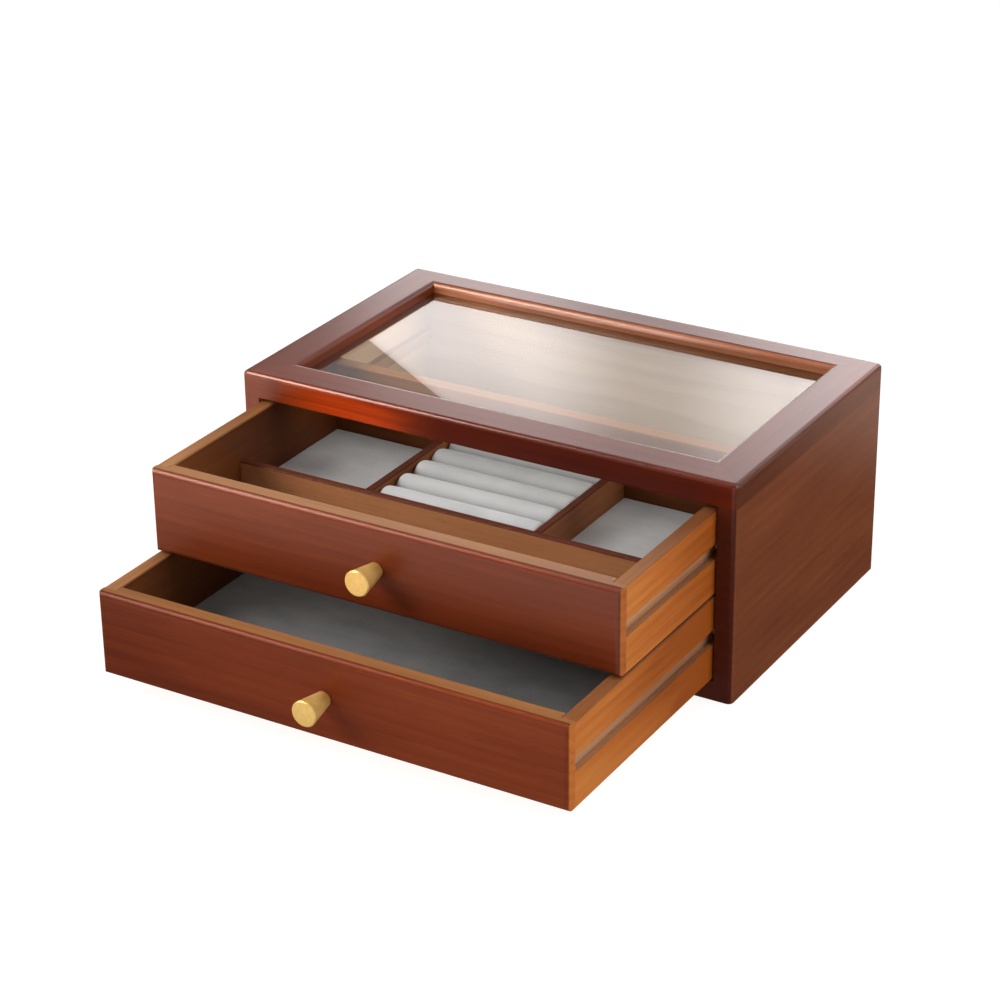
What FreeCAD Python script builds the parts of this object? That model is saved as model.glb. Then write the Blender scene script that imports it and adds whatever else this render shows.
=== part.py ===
import FreeCAD, Part
import math
import os
import re
import Sketcher
from FreeCAD import Placement, Rotation, Vector

# A table-top ring box: a wooden case with a glazed top and two drawers on side runners.
# Millimetres. The origin is the middle of the case's underside, +Z is up and the drawers
# open towards -Y. They stand open as in use, by upper_open and lower_open.

sizes = {
    # case
    "case_width": 300,
    "case_depth": 180,
    "case_height": 125,
    "side_thick": 10.5,
    "bottom_thick": 11,
    "back_thick": 8,
    "housing": 5,              # depth of the rebates that hold the back and the bottom
    "corner_round": 3,         # upright outside corners
    # glazed top frame
    "frame_thick": 14,
    "front_rail": 23,
    "back_rail": 18,
    "side_rail": 23,
    "lip_thick": 6,            # wood left above the glass
    "glass_lap": 6,            # how far the lip covers the glass
    "glass_thick": 3,
    "glass_gap": 0.5,
    "bead_width": 5,
    "bead_round": 2.5,
    "outer_round": 2.5,        # top edge outside
    "inner_round": 3,          # top edge round the window
    # dowels between the top frame and the side panels
    "dowel_radius": 2.5,
    "dowel_gap": 0.05,
    "dowel_end_gap": 0.5,
    "dowel_in_panel": 14,
    "dowel_in_frame": 7,
    "dowel_pitch": 42,
    # runners
    "runner_height": 7.5,
    "runner_above_gap": 0.3,   # the groove's roof over the runner
    "runner_reach_gap": 0.5,   # the groove's floor beside the runner
    "stop_gap": 0.3,           # runner nose to the drawer front's lap when shut
    # drawer boxes
    "upper_open": 100,
    "lower_open": 150,
    "drawer_side_gap": 1,
    "drawer_foot_gap": 1.5,
    "drawer_between_gap": 1.5,
    "drawer_top_gap": 2,
    "drawer_back_gap": 2.5,
    "front_thick": 11,
    "front_lap": 6,            # part of the front that covers the ends of the sides
    "front_round": 3,
    "drawer_side_thick": 7.5,
    "drawer_back_thick": 7.5,
    "drawer_bottom_thick": 3,
    "drawer_bottom_rise": 4.5,
    "plough_depth": 3,         # groove that holds the drawer bottom
    "groove_height": 8.5,
    "groove_depth": 3.5,
    "groove_level": 24,        # middle of the runner groove above the drawer's lower edge
    "edge_ease": 0.8,
    # linings and divisions of the upper drawer
    "felt_thick": 1.5,
    "felt_gap": 0.3,
    "front_bay": 57.5,
    "ring_bay": 98,
    "divider_thick": 4.5,
    "divider_height": 18.5,
    "divider_ease": 0.6,
    "card_thick": 1.5,
    "roll_height": 17,
    "roll_gap": 0.4,
    # knobs and their screws
    "knob_length": 18,
    "knob_face_radius": 7.1,
    "knob_base_radius": 4.3,
    "knob_face_ease": 0.6,
    "knob_base_ease": 0.4,
    "knob_bore_depth": 9,
    "screw_radius": 2,
    "screw_in_knob": 7,
    "screw_head_radius": 4,
    "screw_head_height": 2.4,
    "screw_head_ease": 1,
    "thread_gap": 0.05,
    "screw_hole_gap": 0.25,
}
ring_roll_count = 5
dowels_per_side = 4

# Sizes that follow from the driving ones, as formulas of the sheet's cells.
panel_height = "(case_height - frame_thick)"
inner_width = "(case_width - 2 * side_thick)"
housed_width = f"({inner_width} + 2 * housing)"
drawer_width = f"({inner_width} - 2 * drawer_side_gap)"
drawer_gaps = "(drawer_foot_gap + drawer_between_gap + drawer_top_gap)"
drawer_height = f"(({panel_height} - bottom_thick - {drawer_gaps}) / 2)"
drawer_length = "(case_depth - back_thick - drawer_back_gap)"
lower_level = "(bottom_thick + drawer_foot_gap)"
upper_level = f"({lower_level} + {drawer_height} + drawer_between_gap)"
box_width = f"({drawer_width} - 2 * drawer_side_thick)"
box_end = f"({drawer_length} - drawer_back_thick)"
floor_level = "(drawer_bottom_rise + drawer_bottom_thick)"
divider_end = "(front_thick + front_bay + divider_thick)"
ring_bay_depth = f"({box_end} - {divider_end})"
roll_pitch = f"({ring_bay_depth} / {ring_roll_count})"
side_bay = f"(({box_width} - ring_bay) / 2 - divider_thick)"
rebate_height = "(frame_thick - lip_thick)"
window_width = "(case_width - 2 * side_rail)"
window_depth = "(case_depth - front_rail - back_rail)"
seat_width = f"({window_width} + 2 * glass_lap)"
seat_depth = f"({window_depth} + 2 * glass_lap)"
bead_height = f"({rebate_height} - glass_thick)"
runner_length = "(case_depth - back_thick - front_lap - stop_gap)"
runner_thick = "(drawer_side_gap + groove_depth - runner_reach_gap)"
runner_level = "(groove_level + groove_height / 2 - runner_above_gap - runner_height)"
dowel_inset = "(side_thick / 2)"

doc = FreeCAD.newDocument("ring_box")
sheet = doc.addObject("Spreadsheet::Sheet", "sizes")
for row, (alias, size) in enumerate(sizes.items(), start=1):
    sheet.set(f"A{row}", alias)
    sheet.set(f"B{row}", str(size))
    sheet.setAlias(f"B{row}", alias)
doc.recompute()

pieces = []

# Turns a piece so that its own +Z points out of the front of the box and its own +Y up.
to_front = Rotation(Vector(1, 0, 0), 90)


# ---- Drawing tools ----

def cells(formula):
    """Write each word of a formula as the sheet's cell of that name."""
    return re.sub(r"[a-z][a-z_]+", lambda word: "sizes." + word.group(0), str(formula))


def bind(thing, path, formula):
    thing.setExpression(path, cells(formula))


def place(piece, x, y, z, turn=None):
    """Put a piece's own origin at x, y, z of the box, after turning it."""
    if turn:
        piece.Placement = Placement(Vector(), turn)
    for axis, formula in (("x", x), ("y", y), ("z", z)):
        bind(piece, "Placement.Base." + axis, formula)


def make_sketch(body, plane, level="0"):
    """A sketch on one of the body's own planes, moved by level along the box axis it faces."""
    sketch = body.newObject("Sketcher::SketchObject", body.Name + "_outline")
    role = plane + "_Plane"
    support = [item for item in body.Origin.OriginFeatures if item.Role == role][0]
    sketch.AttachmentSupport = [(support, "")]
    sketch.MapMode = "FlatFace"
    sign = "-1" if plane == "XZ" else "1"
    bind(sketch, "AttachmentOffset.Base.z", f"{sign} * ({level})")
    return sketch


def set_size(sketch, constraint, formula):
    number = sketch.addConstraint(constraint)
    bind(sketch, f"Constraints[{number}]", formula)


def draw_outline(sketch, corners):
    """A closed outline of straight lines, with each corner at two formulas."""
    first = sketch.GeometryCount
    count = len(corners)
    rough = [Vector(10 * math.cos(index), 10 * math.sin(index), 0) for index in range(count)]
    for index in range(count):
        sketch.addGeometry(Part.LineSegment(rough[index], rough[(index + 1) % count]))
    for index in range(count):
        after = first + (index + 1) % count
        sketch.addConstraint(Sketcher.Constraint("Coincident", first + index, 2, after, 1))
    for index, (across, up) in enumerate(corners, start=first):
        set_size(sketch, Sketcher.Constraint("DistanceX", -1, 1, index, 1, 1.0), across)
        set_size(sketch, Sketcher.Constraint("DistanceY", -1, 1, index, 1, 1.0), up)


def draw_rectangle(sketch, left, low, width, height):
    right = f"({left}) + ({width})"
    top = f"({low}) + ({height})"
    draw_outline(sketch, [(left, low), (right, low), (right, top), (left, top)])


def draw_circles(sketch, centres, radius):
    for number, (across, up) in enumerate(centres):
        sketch.addGeometry(Part.Circle(Vector(9 * number, 9, 0), Vector(0, 0, 1), 1))
        set_size(sketch, Sketcher.Constraint("DistanceX", -1, 1, number, 3, 1.0), across)
        set_size(sketch, Sketcher.Constraint("DistanceY", -1, 1, number, 3, 1.0), up)
        set_size(sketch, Sketcher.Constraint("Radius", number, 1.0), radius)


def draw_tongue(sketch, width, height):
    """A strip standing on the sketch's level axis, with a half-round upper end."""
    low_left, low_right = Vector(0, 0, 0), Vector(10, 0, 0)
    high_left, high_right = Vector(0, 12, 0), Vector(10, 12, 0)
    cap = Part.Circle(Vector(5, 12, 0), Vector(0, 0, 1), 5)
    sketch.addGeometry(Part.LineSegment(low_left, low_right))
    sketch.addGeometry(Part.LineSegment(low_right, high_right))
    sketch.addGeometry(Part.ArcOfCircle(cap, 0, math.pi))
    sketch.addGeometry(Part.LineSegment(high_left, low_left))
    rules = [
        ("Coincident", 0, 1, -1, 1),
        ("Coincident", 0, 2, 1, 1),
        ("Coincident", 3, 2, 0, 1),
        ("Tangent", 1, 2, 2, 1),
        ("Tangent", 2, 2, 3, 1),
        ("Horizontal", 0),
        ("Vertical", 1),
        ("Vertical", 3),
    ]
    for rule in rules:
        sketch.addConstraint(Sketcher.Constraint(*rule))
    set_size(sketch, Sketcher.Constraint("DistanceX", 0, 1, 0, 2, 10.0), width)
    straight = f"({height}) - ({width}) / 2"
    set_size(sketch, Sketcher.Constraint("DistanceY", 1, 1, 1, 2, 12.0), straight)


def make_body(name):
    body = doc.addObject("PartDesign::Body", name)
    body.Label = name
    pieces.append(body)
    return body


def pad(body, sketch, length):
    feature = body.newObject("PartDesign::Pad", body.Name + "_pad")
    feature.Profile = sketch
    bind(feature, "Length", length)
    doc.recompute()


def cut(body, plane, level, depth, draw, *shape):
    """Remove what draw outlines, from level on through depth along the box axis."""
    before = body.Tip.Shape.Volume
    sketch = make_sketch(body, plane, level)
    draw(sketch, *shape)
    feature = body.newObject("PartDesign::Pocket", body.Name + "_cut")
    feature.Profile = sketch
    feature.Reversed = plane != "XZ"
    bind(feature, "Length", depth)
    doc.recompute()
    if feature.Shape.Volume > before - 1e-3:
        raise RuntimeError(f"{feature.Name} removes nothing from {body.Label}")


def edges_on(body, **sides):
    """The edges that lie on the given sides of the body's box, such as y="min", z="max"."""
    box = body.Tip.Shape.BoundBox
    limits = {
        "x": {"min": box.XMin, "max": box.XMax},
        "y": {"min": box.YMin, "max": box.YMax},
        "z": {"min": box.ZMin, "max": box.ZMax},
    }
    names = []
    for number, edge in enumerate(body.Tip.Shape.Edges, start=1):
        first, last = edge.FirstParameter, edge.LastParameter
        points = [edge.valueAt(first), edge.valueAt((first + last) / 2), edge.valueAt(last)]
        on_every_side = all(
            abs(getattr(point, axis) - limits[axis][side]) < 1e-6
            for point in points
            for axis, side in sides.items()
        )
        if on_every_side:
            names.append(f"Edge{number}")
    return names


def ease(body, radius, edges):
    """Round the named edges of the body as it stands."""
    carrier = body.Tip
    feature = body.newObject("PartDesign::Fillet", body.Name + "_ease")
    feature.Base = (carrier, sorted(set(edges)))
    bind(feature, "Radius", radius)
    doc.recompute()


def make_board(name, width, depth, height):
    """A board with its low corner at its own origin: width on X, depth on Y, height on Z."""
    body = make_body(name)
    sketch = make_sketch(body, "XY")
    draw_rectangle(sketch, 0, 0, width, depth)
    pad(body, sketch, height)
    return body


def make_strip(name, length, width, height):
    """A strip along X with a half-round top: width on Y, height on Z."""
    body = make_body(name)
    sketch = make_sketch(body, "YZ")
    draw_tongue(sketch, width, height)
    pad(body, sketch, length)
    return body


def make_turning(name, corners):
    """A piece turned about its own Z axis; each corner is a radius and a height."""
    body = make_body(name)
    sketch = make_sketch(body, "XZ")
    draw_outline(sketch, corners)
    feature = body.newObject("PartDesign::Revolution", name + "_turning")
    feature.Profile = sketch
    feature.ReferenceAxis = (sketch, ["V_Axis"])
    feature.Angle = 360
    doc.recompute()


# ---- Case ----

def dowel_steps():
    """How far each dowel stands behind the middle of the case."""
    return [f"{number - (dowels_per_side - 1) / 2} * dowel_pitch" for number in range(dowels_per_side)]


def make_side_panel(side):
    """A side board, rebated inside for the back and the bottom and bored on top for dowels."""
    left = side == "left"
    body = make_board(side + "_side_panel", "side_thick", "case_depth", panel_height)
    rebate = "side_thick - housing" if left else "0"
    outside = "min" if left else "max"
    to_back = "case_depth - back_thick"
    cut(body, "XY", 0, panel_height, draw_rectangle, rebate, to_back, "housing", "back_thick")
    cut(body, "XY", 0, "bottom_thick", draw_rectangle, rebate, 0, "housing", to_back)
    bores = [(dowel_inset, f"case_depth / 2 + {step}") for step in dowel_steps()]
    floor = f"{panel_height} - dowel_in_panel"
    cut(body, "XY", floor, "dowel_in_panel", draw_circles, bores, "dowel_radius + dowel_gap")
    corners = edges_on(body, x=outside, y="min") + edges_on(body, x=outside, y="max")
    ease(body, "corner_round", corners)
    place(body, "-case_width / 2" if left else "case_width / 2 - side_thick", "-case_depth / 2", 0)


def make_carcase():
    bottom = make_board("bottom_panel", housed_width, "case_depth - back_thick", "bottom_thick")
    place(bottom, f"-{housed_width} / 2", "-case_depth / 2", 0)
    back = make_board("back_panel", housed_width, "back_thick", panel_height)
    place(back, f"-{housed_width} / 2", "case_depth / 2 - back_thick", 0)
    for side in ("left", "right"):
        make_side_panel(side)


def make_frame_blank():
    """The whole moulded top frame before its four mitres are cut."""
    frame = make_board("frame_blank", "case_width", "case_depth", "frame_thick")
    pieces.remove(frame)
    opening = ("side_rail", "front_rail", window_width, window_depth)
    cut(frame, "XY", 0, "frame_thick", draw_rectangle, *opening)
    rim = [{"y": "min"}, {"x": "max"}, {"y": "max"}, {"x": "min"}]
    outside = [name for side in rim for name in edges_on(frame, z="max", **side)]
    ease(frame, "inner_round", [name for name in edges_on(frame, z="max") if name not in outside])
    corners = [name for x in ("min", "max") for y in ("min", "max") for name in edges_on(frame, x=x, y=y)]
    ease(frame, "corner_round", corners)
    ease(frame, "outer_round", [name for side in rim for name in edges_on(frame, z="max", **side)])
    seat = ("side_rail - glass_lap", "front_rail - glass_lap", seat_width, seat_depth)
    cut(frame, "XY", 0, rebate_height, draw_rectangle, *seat)
    for across in (dowel_inset, f"case_width - {dowel_inset}"):
        bores = [(across, f"case_depth / 2 + {step}") for step in dowel_steps()]
        cut(frame, "XY", 0, "dowel_in_frame", draw_circles, bores, "dowel_radius + dowel_gap")
    place(frame, "-case_width / 2", "-case_depth / 2", panel_height)
    return frame


def make_top_rails():
    """Four rails of the moulded frame, parted by 45-degree mitres through the window's corners."""
    frame = make_frame_blank()
    left, right = "side_rail", "case_width - side_rail"
    front, back = "front_rail", "case_depth - back_rail"
    inner = [(left, front), (right, front), (right, back), (left, back)]
    outwards = [("-", "-"), ("+", "-"), ("+", "+"), ("-", "+")]
    reach = "(front_rail + side_rail + back_rail)"
    outer = [
        (f"{across} {sign_x} {reach}", f"{up} {sign_y} {reach}")
        for (across, up), (sign_x, sign_y) in zip(inner, outwards)
    ]
    for corner, side in enumerate(("front", "right", "back", "left")):
        after = (corner + 1) % 4
        mitre = doc.addObject("PartDesign::Body", side + "_mitre")
        sketch = make_sketch(mitre, "XY")
        draw_outline(sketch, [inner[corner], inner[after], outer[after], outer[corner]])
        pad(mitre, sketch, "frame_thick")
        place(mitre, "-case_width / 2", "-case_depth / 2", panel_height)
        rail = doc.addObject("Part::Common", f"top_{side}_rail")
        rail.Base = frame
        rail.Tool = mitre
        pieces.append(rail)


def make_glazing():
    """The pane under the frame's lip and the four beads that hold it there."""
    pane = make_board("glass_pane", f"{seat_width} - 2 * glass_gap", f"{seat_depth} - 2 * glass_gap",
                      "glass_thick")
    seat_x = f"(-{seat_width} / 2)"
    seat_y = "(-case_depth / 2 + front_rail - glass_lap)"
    place(pane, f"{seat_x} + glass_gap", f"{seat_y} + glass_gap", f"{panel_height} + {bead_height}")
    short = f"{seat_depth} - 2 * bead_width"
    beads = {
        "front": (seat_width, "bead_width", seat_x, seat_y, {"y": "max"}),
        "back": (seat_width, "bead_width", seat_x, f"{seat_y} + {seat_depth} - bead_width", {"y": "min"}),
        "left": ("bead_width", short, seat_x, f"{seat_y} + bead_width", {"x": "max"}),
        "right": ("bead_width", short, f"-{seat_x} - bead_width", f"{seat_y} + bead_width", {"x": "min"}),
    }
    for side, (width, depth, x, y, inside) in beads.items():
        bead = make_board("glass_bead_" + side, width, depth, bead_height)
        ease(bead, "bead_round", edges_on(bead, z="min", **inside))
        place(bead, x, y, panel_height)


def make_dowels():
    """Dowels that pin the top frame to the side panels, half in each."""
    dowels = doc.addObject("Part::Compound", "frame_dowels")
    pins = []
    for sign in ("-1", "1"):
        for step in dowel_steps():
            pin = doc.addObject("Part::Cylinder", "dowel")
            bind(pin, "Radius", "dowel_radius")
            bind(pin, "Height", "dowel_in_panel + dowel_in_frame - 2 * dowel_end_gap")
            x = f"{sign} * (case_width / 2 - {dowel_inset})"
            place(pin, x, step, f"{panel_height} - dowel_in_panel + dowel_end_gap")
            pins.append(pin)
    dowels.Links = pins
    pieces.append(dowels)


def make_runners():
    """Round-nosed wooden strips glued to the side panels, one pair for each drawer."""
    for drawer, level in (("lower", lower_level), ("upper", upper_level)):
        for side in ("left", "right"):
            runner = make_strip(f"{drawer}_{side}_runner", runner_thick, "runner_height", runner_length)
            inside = f"{inner_width} / 2"
            x = f"-{inside}" if side == "left" else f"{inside} - {runner_thick}"
            place(runner, x, "case_depth / 2 - back_thick", f"{level} + {runner_level}", to_front)


# ---- Drawers ----

def make_drawer_front(drawer, front_y, level):
    """A front with rounded face edges, lapped over the sides and ploughed for the bottom."""
    body = make_board(drawer + "_front", drawer_width, "front_thick", drawer_height)
    ease(body, "front_round", edges_on(body, y="min"))
    ease(body, "edge_ease", edges_on(body, y="max", z="max"))
    lap = "front_thick - front_lap"
    for left in ("0", f"{drawer_width} - drawer_side_thick"):
        end = (left, "front_lap", "drawer_side_thick", lap)
        cut(body, "XY", 0, drawer_height, draw_rectangle, *end)
    plough = ("drawer_side_thick", "front_thick - plough_depth", box_width, "plough_depth")
    cut(body, "XY", "drawer_bottom_rise", "drawer_bottom_thick", draw_rectangle, *plough)
    middle = [(f"{drawer_width} / 2", f"{drawer_height} / 2")]
    cut(body, "XZ", 0, "front_thick", draw_circles, middle, "screw_radius + screw_hole_gap")
    place(body, f"-{drawer_width} / 2", front_y, level)


def make_drawer_side(drawer, side, front_y, level):
    """A side with the runner groove outside and the plough for the bottom inside."""
    left = side == "left"
    length = f"{drawer_length} - front_lap"
    body = make_board(f"{drawer}_{side}_side", "drawer_side_thick", length, drawer_height)
    top_edges = edges_on(body, x="min", z="max") + edges_on(body, x="max", z="max")
    ease(body, "edge_ease", top_edges)
    outside = "0" if left else "drawer_side_thick - groove_depth"
    inside = "drawer_side_thick - plough_depth" if left else "0"
    groove = (outside, "groove_level - groove_height / 2", "groove_depth", "groove_height")
    plough = (inside, "drawer_bottom_rise", "plough_depth", "drawer_bottom_thick")
    cut(body, "XZ", 0, length, draw_rectangle, *groove)
    cut(body, "XZ", 0, length, draw_rectangle, *plough)
    x = f"-{drawer_width} / 2" if left else f"{drawer_width} / 2 - drawer_side_thick"
    place(body, x, f"{front_y} + front_lap", level)


def make_knob(drawer, front_y, level):
    """A tapered knob, wide at its face, and the screw that holds it from inside the drawer."""
    bore = "screw_radius + thread_gap"
    middle = f"{level} + {drawer_height} / 2"
    make_turning(drawer + "_knob", [
        (bore, 0),
        ("knob_base_radius - knob_base_ease", 0),
        ("knob_base_radius", "knob_base_ease"),
        ("knob_face_radius", "knob_length - knob_face_ease"),
        ("knob_face_radius - knob_face_ease", "knob_length"),
        (0, "knob_length"),
        (0, "knob_bore_depth"),
        (bore, "knob_bore_depth"),
    ])
    place(pieces[-1], 0, front_y, middle, to_front)
    make_turning(drawer + "_knob_screw", [
        (0, "-screw_head_height"),
        ("screw_head_radius - screw_head_ease", "-screw_head_height"),
        ("screw_head_radius", "screw_head_ease - screw_head_height"),
        ("screw_head_radius", 0),
        ("screw_radius", 0),
        ("screw_radius", "front_thick + screw_in_knob"),
        (0, "front_thick + screw_in_knob"),
    ])
    place(pieces[-1], 0, f"{front_y} + front_thick", middle, to_front)


def make_drawer(drawer, front_y, level):
    make_drawer_front(drawer, front_y, level)
    for side in ("left", "right"):
        make_drawer_side(drawer, side, front_y, level)
    back = make_board(drawer + "_back", box_width, "drawer_back_thick", f"{drawer_height} - {floor_level}")
    ease(back, "edge_ease", edges_on(back, y="min", z="max") + edges_on(back, y="max", z="max"))
    place(back, f"-{box_width} / 2", f"{front_y} + {box_end}", f"{level} + {floor_level}")
    width = f"({box_width} + 2 * plough_depth)"
    length = f"{drawer_length} - front_thick + plough_depth"
    bottom = make_board(drawer + "_bottom", width, length, "drawer_bottom_thick")
    y = f"{front_y} + front_thick - plough_depth"
    place(bottom, f"-{width} / 2", y, f"{level} + drawer_bottom_rise")
    make_knob(drawer, front_y, level)


def make_felt(name, x, y, width, depth, level):
    """A felt lining on the drawer bottom, cut a little smaller than its bay."""
    felt = make_board(name, f"{width} - 2 * felt_gap", f"{depth} - 2 * felt_gap", "felt_thick")
    place(felt, f"{x} + felt_gap", f"{y} + felt_gap", f"{level} + {floor_level}")


def make_divisions(front_y, level):
    """The upper drawer's long divider and the two partitions either side of the rings."""
    z = f"{level} + {floor_level}"
    long_divider = make_board("long_divider", box_width, "divider_thick", "divider_height")
    long_edges = edges_on(long_divider, y="min", z="max") + edges_on(long_divider, y="max", z="max")
    ease(long_divider, "divider_ease", long_edges)
    place(long_divider, f"-{box_width} / 2", f"{front_y} + front_thick + front_bay", z)
    for side in ("left", "right"):
        partition = make_board(side + "_partition", "divider_thick", ring_bay_depth, "divider_height")
        edges = edges_on(partition, x="min", z="max") + edges_on(partition, x="max", z="max")
        ease(partition, "divider_ease", edges)
        x = "-ring_bay / 2 - divider_thick" if side == "left" else "ring_bay / 2"
        place(partition, x, f"{front_y} + {divider_end}", z)


def make_ring_rolls(front_y, level):
    """A card with velvet rolls across the middle bay; rings stand in the slots between them."""
    y = f"{front_y} + {divider_end}"
    width = "ring_bay - 2 * felt_gap"
    card = make_board("ring_card", width, f"{ring_bay_depth} - 2 * felt_gap", "card_thick")
    place(card, "-ring_bay / 2 + felt_gap", f"{y} + felt_gap", f"{level} + {floor_level}")
    for number in range(ring_roll_count):
        name = f"ring_roll_{number + 1}"
        roll = make_strip(name, width, f"{roll_pitch} - roll_gap", "roll_height")
        step = f"{number} * {roll_pitch} + roll_gap / 2"
        z = f"{level} + {floor_level} + card_thick"
        place(roll, "-ring_bay / 2 + felt_gap", f"{y} + {step}", z)


def make_drawers():
    lower_y = "(-case_depth / 2 - lower_open)"
    upper_y = "(-case_depth / 2 - upper_open)"
    bay_left = f"-{box_width} / 2"
    make_drawer("lower", lower_y, lower_level)
    tray = (box_width, f"{box_end} - front_thick")
    make_felt("lower_felt", bay_left, f"{lower_y} + front_thick", *tray, lower_level)
    make_drawer("upper", upper_y, upper_level)
    make_divisions(upper_y, upper_level)
    make_felt("front_felt", bay_left, f"{upper_y} + front_thick", box_width, "front_bay", upper_level)
    behind = f"{upper_y} + {divider_end}"
    make_felt("left_felt", bay_left, behind, side_bay, ring_bay_depth, upper_level)
    right = "ring_bay / 2 + divider_thick"
    make_felt("right_felt", right, behind, side_bay, ring_bay_depth, upper_level)
    make_ring_rolls(upper_y, upper_level)


def write_pieces():
    """Check every object of the document, then write one file for each piece."""
    doc.recompute()
    for thing in doc.Objects:
        if {"Invalid", "Error"} & set(thing.State):
            raise RuntimeError(f"{thing.Name} failed: {thing.State}")
    for piece in pieces:
        if piece.Shape.isNull() or not piece.Shape.isValid():
            raise RuntimeError(f"{piece.Label} has no sound shape")
    os.makedirs("parts", exist_ok=True)
    for piece in pieces:
        piece.Shape.exportStep(f"parts/{piece.Label}.step")
    print(len(pieces), "pieces written")


make_carcase()
make_top_rails()
make_glazing()
make_dowels()
make_runners()
make_drawers()
write_pieces()
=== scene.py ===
import math

import bmesh
import bpy
from mathutils import Matrix, Vector, noise


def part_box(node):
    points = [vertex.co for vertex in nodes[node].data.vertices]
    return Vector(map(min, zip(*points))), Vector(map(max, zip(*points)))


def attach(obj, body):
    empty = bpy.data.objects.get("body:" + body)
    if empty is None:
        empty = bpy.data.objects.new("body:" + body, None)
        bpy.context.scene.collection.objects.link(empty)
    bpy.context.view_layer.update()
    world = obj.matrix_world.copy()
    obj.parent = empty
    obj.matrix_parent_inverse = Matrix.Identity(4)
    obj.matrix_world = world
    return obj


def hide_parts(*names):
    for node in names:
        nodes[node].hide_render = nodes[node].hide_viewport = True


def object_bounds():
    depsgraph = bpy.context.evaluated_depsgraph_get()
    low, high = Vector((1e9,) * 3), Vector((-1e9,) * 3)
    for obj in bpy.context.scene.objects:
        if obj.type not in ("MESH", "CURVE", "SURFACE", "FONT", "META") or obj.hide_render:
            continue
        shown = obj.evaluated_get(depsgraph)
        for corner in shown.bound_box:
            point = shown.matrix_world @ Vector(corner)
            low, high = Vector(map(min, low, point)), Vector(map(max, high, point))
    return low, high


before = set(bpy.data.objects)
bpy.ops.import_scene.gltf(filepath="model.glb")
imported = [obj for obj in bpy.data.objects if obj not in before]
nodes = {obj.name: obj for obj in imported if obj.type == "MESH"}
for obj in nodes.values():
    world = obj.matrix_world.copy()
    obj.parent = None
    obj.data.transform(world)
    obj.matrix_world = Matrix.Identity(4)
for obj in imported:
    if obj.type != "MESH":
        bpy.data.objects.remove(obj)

# The looks of a wooden ring box: stained and lacquered case with a glazed top, two drawers of
# clear-lacquered boards behind stained fronts, brass knobs, grey felt linings and velvet ring rolls.
# The frame is in metres, and sizes in the dictionaries below are millimetres unless a note says so.

mm = 0.001
toMm = (1000, 1000, 1000)
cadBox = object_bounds()
print("frame loaded,", len(nodes), "pieces")


# Camera: where the box is looked at from.

viewpoint = {
    "place": (0.69479, -1.23383, 0.72505),   # metres
    "azimuth": 30.80,                        # degrees round from straight in front
    "elevation": 25.67,                      # degrees above the table
    "roll": -0.63,                           # degrees
    "lens": 101.44,
    "sensor": 36.0,
    "clip": (0.05, 50),                      # metres
}


def makeCamera(view):
    azimuth, elevation, roll = (math.radians(view[key]) for key in ("azimuth", "elevation", "roll"))
    back = Vector((math.sin(azimuth) * math.cos(elevation),
                   -math.cos(azimuth) * math.cos(elevation),
                   math.sin(elevation)))
    across = (-back).cross(Vector((0, 0, 1))).normalized()
    above = across.cross(-back)
    level = Matrix((across, above, back)).transposed()   # columns are the camera's own axes
    turned = level @ Matrix.Rotation(roll, 3, "Z")
    lens = bpy.data.cameras.new("camera")
    lens.lens = view["lens"]
    lens.sensor_width = view["sensor"]
    lens.clip_start, lens.clip_end = view["clip"]
    camera = bpy.data.objects.new("camera", lens)
    camera.matrix_world = Matrix.Translation(view["place"]) @ turned.to_4x4()
    bpy.context.scene.collection.objects.link(camera)
    bpy.context.scene.camera = camera


makeCamera(viewpoint)
bpy.context.scene.view_settings.view_transform = "Standard"
print("camera set")


# Small helpers for shader trees.

def tone(red, green, blue):
    # a colour on the 0 to 255 scale, made linear for a shader
    def linear(value):
        value /= 255
        return value / 12.92 if value <= 0.04045 else ((value + 0.055) / 1.055) ** 2.4
    return (linear(red), linear(green), linear(blue), 1)


def put(tree, kind, inputs=(), **settings):
    # adds a node, sets its options, and fills or links its inputs
    node = tree.nodes.new(kind)
    for name, value in settings.items():
        setattr(node, name, value)
    for socket, value in dict(inputs).items():
        if isinstance(value, bpy.types.NodeSocket):
            tree.links.new(value, node.inputs[socket])
        else:
            node.inputs[socket].default_value = value
    return node


def reckon(tree, operation, first, second=0.0):
    return put(tree, "ShaderNodeMath", {0: first, 1: second}, operation=operation).outputs[0]


def weigh(tree, first, firstShare, second, secondShare):
    # the sum of two values, each times its share
    parts = [reckon(tree, "MULTIPLY", *pair) for pair in ((first, firstShare), (second, secondShare))]
    return reckon(tree, "ADD", *parts)


def between(tree, value, low, high, toLow=0.0, toHigh=1.0):
    # a smooth step of value from low to high
    inputs = {"Value": value, "From Min": low, "From Max": high, "To Min": toLow, "To Max": toHigh}
    return put(tree, "ShaderNodeMapRange", inputs, interpolation_type="SMOOTHSTEP").outputs[0]


def mixTones(tree, share, first, second):
    return put(tree, "ShaderNodeMix", {0: share, 6: first, 7: second}, data_type="RGBA").outputs[2]


def ramp(tree, share, stops):
    # a colour ramp through (position, colour) pairs
    node = put(tree, "ShaderNodeValToRGB", {0: share})
    elements = node.color_ramp.elements
    for element, (position, colour) in zip(elements, stops):
        element.position = position
        element.color = colour
    for position, colour in stops[2:]:
        elements.new(position).color = colour
    return node.outputs[0]


def grainNoise(tree, vector, lengths, detail=2.0, roughness=0.5):
    # noise whose features have these lengths, in mm, along the vector's own axes
    scale = tuple(1 / length for length in lengths)
    fitted = put(tree, "ShaderNodeMapping", {"Vector": vector, "Scale": scale}).outputs[0]
    inputs = {"Vector": fitted, "Scale": 1.0, "Detail": detail, "Roughness": roughness}
    return put(tree, "ShaderNodeTexNoise", inputs).outputs[0]


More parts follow.
